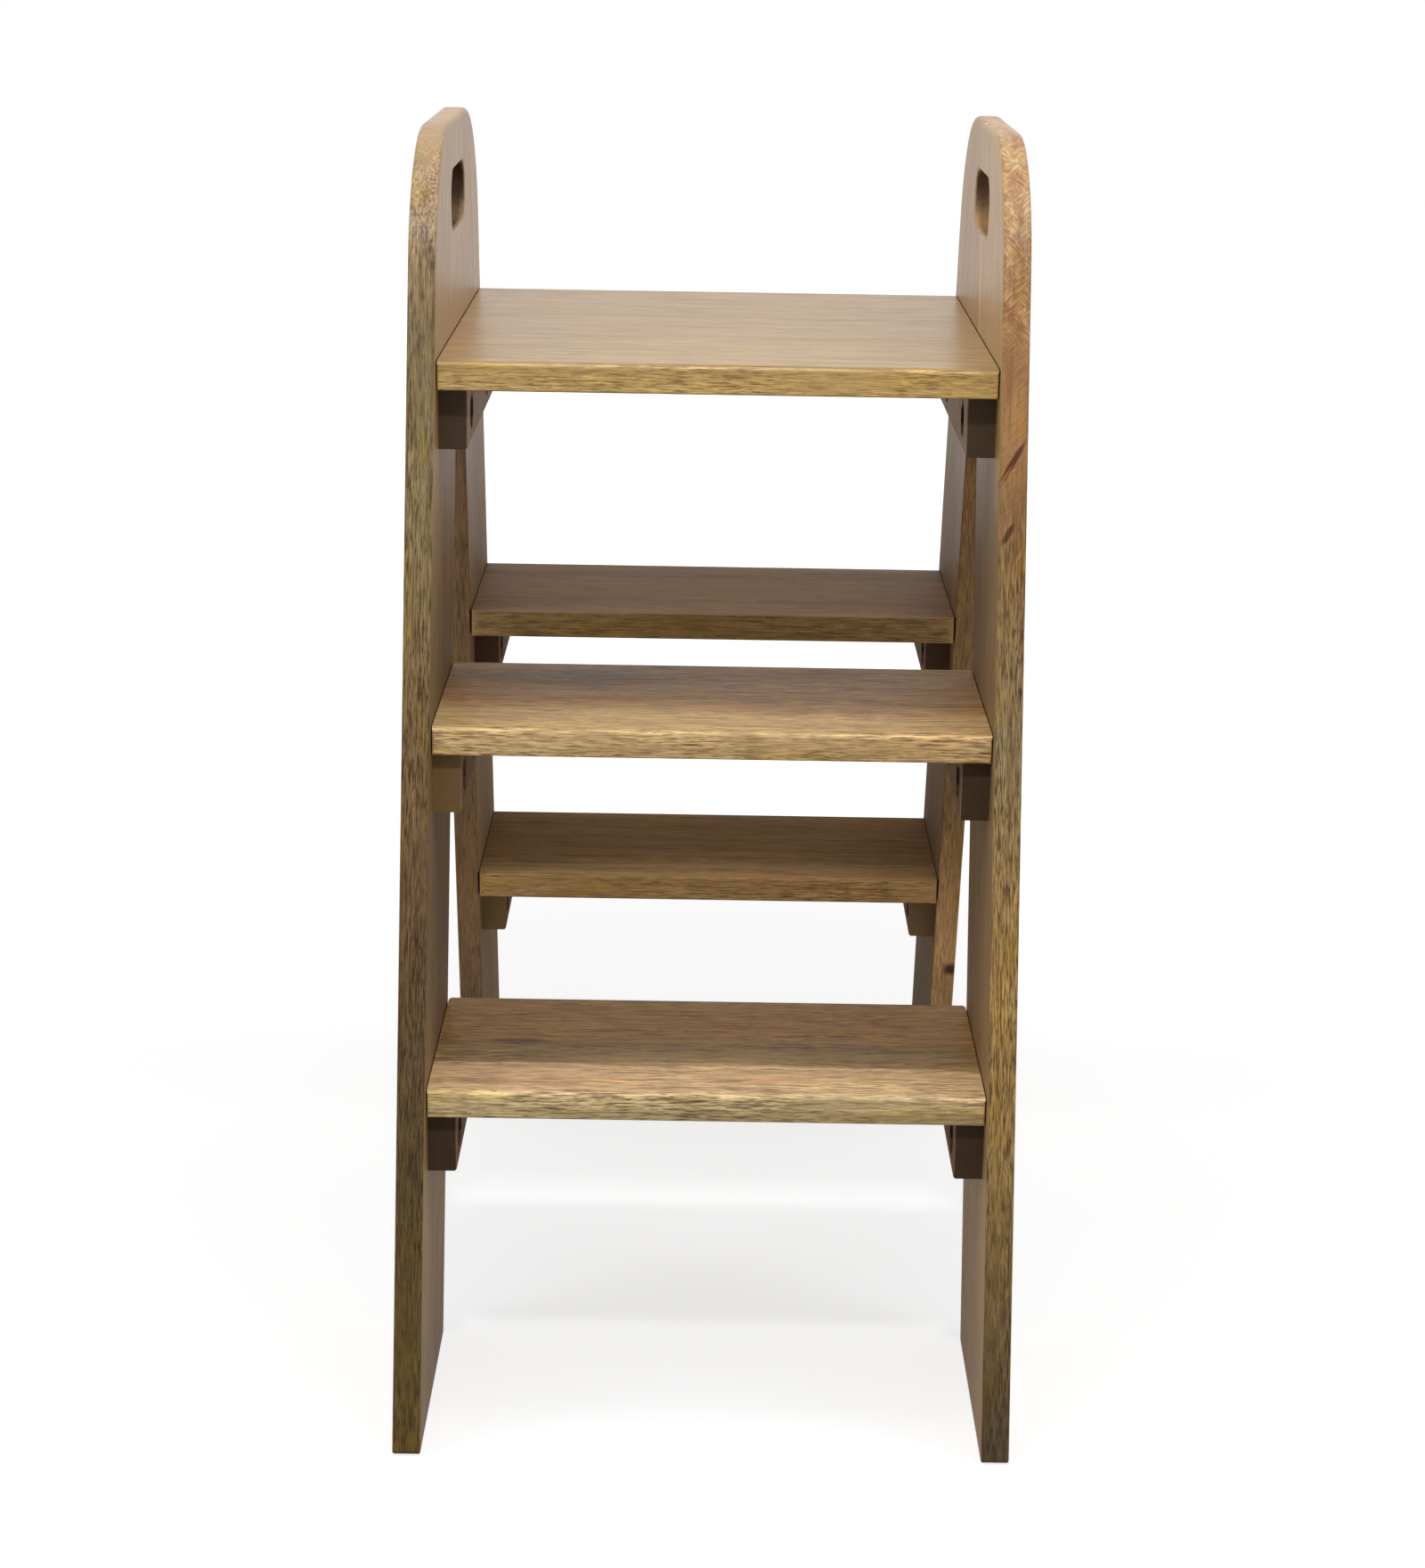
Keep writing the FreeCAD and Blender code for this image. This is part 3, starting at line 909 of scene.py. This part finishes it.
def dress_wood():
    """Each wooden piece gets a material of its own, with its own seed."""
    looks = {
        "top_tread": top_tread_look(),
        "front_middle_tread": front_middle_tread_look(),
        "front_bottom_tread": front_bottom_tread_look(),
        "rear_middle_tread": rear_middle_tread_look(),
        "rear_bottom_tread": rear_bottom_tread_look(),
        "left_front_leg": left_front_leg_look(),
        "right_front_leg": right_front_leg_look(),
        "left_rear_leg": left_rear_leg_look(),
        "right_rear_leg": right_rear_leg_look(),
    }
    seed = 1.0
    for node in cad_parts:
        side, end = node.split("_")[:2]
        neighbours = []
        if node.endswith("_tread"):
            board, look = tread_board(node, seed), looks[node]
        elif node.endswith("_leg"):
            board, look = leg_board(side, end, seed), looks[node]
            treads = ("top_tread", end + "_middle_tread", end + "_bottom_tread")
            neighbours = [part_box(tread) for tread in treads]
        elif node.endswith("_cleat"):
            board, look = cleat_board(node, seed), cleat_look(node)
        elif node.endswith("_dowels"):
            board, look = leg_board(side, "front", seed), dowel_look()
        else:
            continue
        dress(node, wood(node + "_wood", board, look, neighbours))
        seed += 1.0


def dress_steel():
    plate = {
        "washers": steel("washer_steel", colour(66, 63, 60)),
        "coach_screws": steel("coach_screw_steel", colour(58, 56, 53)),
        "tread_screws": steel("tread_screw_steel", colour(58, 56, 53)),
    }
    for side in ("left", "right"):
        for group, material in plate.items():
            dress(side + "_" + group, material)


def camera():
    """The photograph's view. The camera's own axes come from its pitch, yaw and roll."""
    pitch = math.radians(camera_pitch)
    yaw = math.radians(camera_yaw)
    roll = math.radians(camera_roll)
    ahead = Vector((math.sin(yaw) * math.cos(pitch), math.cos(yaw) * math.cos(pitch), math.sin(pitch)))
    level = Vector((math.cos(yaw), -math.sin(yaw), 0))
    upward = level.cross(ahead)
    right = level * math.cos(roll) + upward * math.sin(roll)
    top = upward * math.cos(roll) - level * math.sin(roll)
    data = bpy.data.cameras.new("camera")
    data.sensor_width = sensor_size
    data.lens = focal_length_in_pixels * sensor_size / max(photo_width, photo_height)
    placed = bpy.data.objects.new("camera", data)
    turned = Matrix((right, top, -ahead)).transposed().to_4x4()
    placed.matrix_world = Matrix.Translation(camera_place) @ turned
    bpy.context.scene.collection.objects.link(placed)
    bpy.context.scene.camera = placed


def lamp(name, place, target, power, size):
    """A soft lamp that faces a point."""
    data = bpy.data.lights.new(name, "AREA")
    data.shape = "RECTANGLE"
    data.size = size[0]
    data.size_y = size[1]
    data.energy = power
    placed = bpy.data.objects.new(name, data)
    placed.location = place
    placed.rotation_euler = (target - place).to_track_quat("-Z", "Y").to_euler()
    bpy.context.scene.collection.objects.link(placed)


def lamps():
    lamp("key", key_place, ladder_middle, key_power, key_size)
    lamp("overhead", overhead_place, Vector((0, overhead_place.y, 0)), overhead_power, overhead_size)
    for name, mirror in (("left", -1), ("right", 1)):
        place = Vector((mirror * side_place.x, side_place.y, side_place.z))
        lamp(name, place, ladder_middle, side_power, side_size)


def seen_directly(graph):
    """1 for what the camera sees, directly, in gloss or through glass, and 0 for light on the object."""
    path = graph.node("ShaderNodeLightPath")
    direct = graph.math("MAXIMUM", path.outputs["Is Camera Ray"], path.outputs["Is Glossy Ray"])
    return graph.math("MAXIMUM", direct, path.outputs["Is Transmission Ray"])


def surroundings():
    """A world that looks white and lights the object at a plain level."""
    world = bpy.data.worlds.new("studio")
    world.use_nodes = True
    bpy.context.scene.world = world
    graph = Graph(world.node_tree)
    background = graph.node("ShaderNodeBackground")
    graph.feed(background.inputs["Color"], white)
    strength = graph.spread(seen_directly(graph), 0.0, 1.0, surrounding_light, 1.0)
    graph.feed(background.inputs["Strength"], strength)
    graph.show(background.outputs["Background"], "ShaderNodeOutputWorld")


def floor_paper():
    """Pale paper that keeps a shadow and turns into the white background further out."""
    material, graph = new_material("floor_paper")
    distance = graph.length(graph.node("ShaderNodeTexCoord").outputs["Object"])
    paper = graph.node("ShaderNodeBsdfDiffuse")
    graph.feed(paper.inputs["Color"], grey(floor_colour))
    glow = graph.node("ShaderNodeEmission")
    graph.feed(glow.inputs["Color"], white)
    lift = graph.spread(distance, *shadow_reach, floor_glow, 1.0)
    graph.feed(glow.inputs["Strength"], graph.times(seen_directly(graph), lift))
    both = graph.node("ShaderNodeAddShader")
    graph.feed(both.inputs[0], paper.outputs["BSDF"])
    graph.feed(both.inputs[1], glow.outputs["Emission"])
    graph.show(both.outputs["Shader"])
    return material


def floor():
    """A round floor, just under the feet."""
    mesh = bpy.data.meshes.new("floor")
    rim = [2 * math.pi * i / floor_sides for i in range(floor_sides)]
    points = [(floor_radius * math.cos(angle), floor_radius * math.sin(angle), -floor_drop) for angle in rim]
    mesh.from_pydata(points, [], [list(range(floor_sides))])
    mesh.materials.append(floor_paper())
    placed = bpy.data.objects.new("floor", mesh)
    bpy.context.scene.collection.objects.link(placed)


bpy.context.scene.view_settings.view_transform = "Standard"
dress_wood()
dress_steel()
camera()
lamps()
surroundings()
floor()
